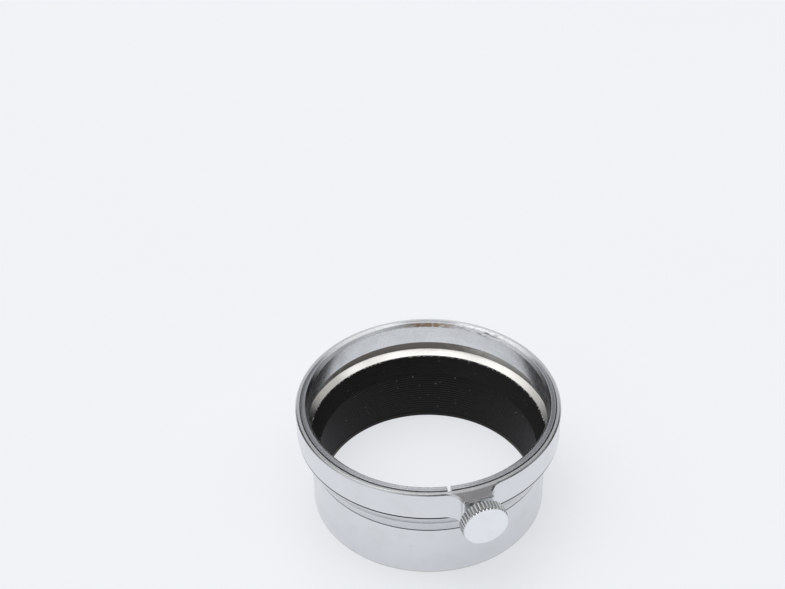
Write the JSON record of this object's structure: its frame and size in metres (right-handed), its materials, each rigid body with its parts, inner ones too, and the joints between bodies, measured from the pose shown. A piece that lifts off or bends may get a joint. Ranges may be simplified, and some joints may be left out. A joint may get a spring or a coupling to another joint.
{
  "type": "lens hood",
  "caption": "Round slip-on lens hood that shades a small lens: a stepped metal tube, black and grooved inside, with a split spring ring clamped by a knurled side screw.",
  "frame": {"origin": "on the optical axis, in the plane of the clamp end's rim, where the hood slips over the lens", "axes": "+Z along the optical axis, out of the clamp end towards the lens; the mouth faces -Z, and the part stands on it at z = -18.2 mm. The clamp screw is on the -Y side, with its axis along Y"},
  "size_m": [0.04, 0.045, 0.0192],
  "materials": {
    "satin_chrome": "chrome over a turned and polished surface, slightly satin with age",
    "bright_chrome": "bright chrome with fine turning lines, worn through to brass in places",
    "black_enamel": "matt black anti-reflection enamel over fine circular grooves",
    "steel": "turned steel, darkened",
    "brass": "turned brass, dull"
  },
  "bodies": {
    "root": {"clamp_collar": "satin_chrome", "shoulder_cone": "satin_chrome", "hood_tube": "satin_chrome", "cone_lining": "black_enamel", "tube_lining": "black_enamel", "spring_ring": "bright_chrome"},
    "ring_tongue": {"spring_ring_tongue": "bright_chrome"},
    "screw_thrust": {"pressure_pad": "brass"},
    "clamp_screw": {"knurled_knob": "satin_chrome", "screw_stud": "steel"}
  },
  "joints": [
    {"name": "screw_travel", "type": "slide", "parent": "root", "child": "screw_thrust", "axis": [0, 1, 0], "range_m": [0, 0.0005625]},
    {"name": "screw_turn", "type": "hinge", "parent": "screw_thrust", "child": "clamp_screw", "pos_m": [0, -0.02197, -0.00245], "axis": [0, 1, 0], "range_deg": [0, 450.1]},
    {"name": "tongue_bend", "type": "hinge", "parent": "root", "child": "ring_tongue", "pos_m": [0.01684, -0.00814, 0], "axis": [0, 0, -1], "range_deg": [0, 1.92]}
  ],
  "couplings": [
    {"joint": "screw_turn", "follows": "screw_travel", "rad_per_m": 13963},
    {"joint": "tongue_bend", "follows": "screw_travel", "rad_per_m": 59.397}
  ]
}
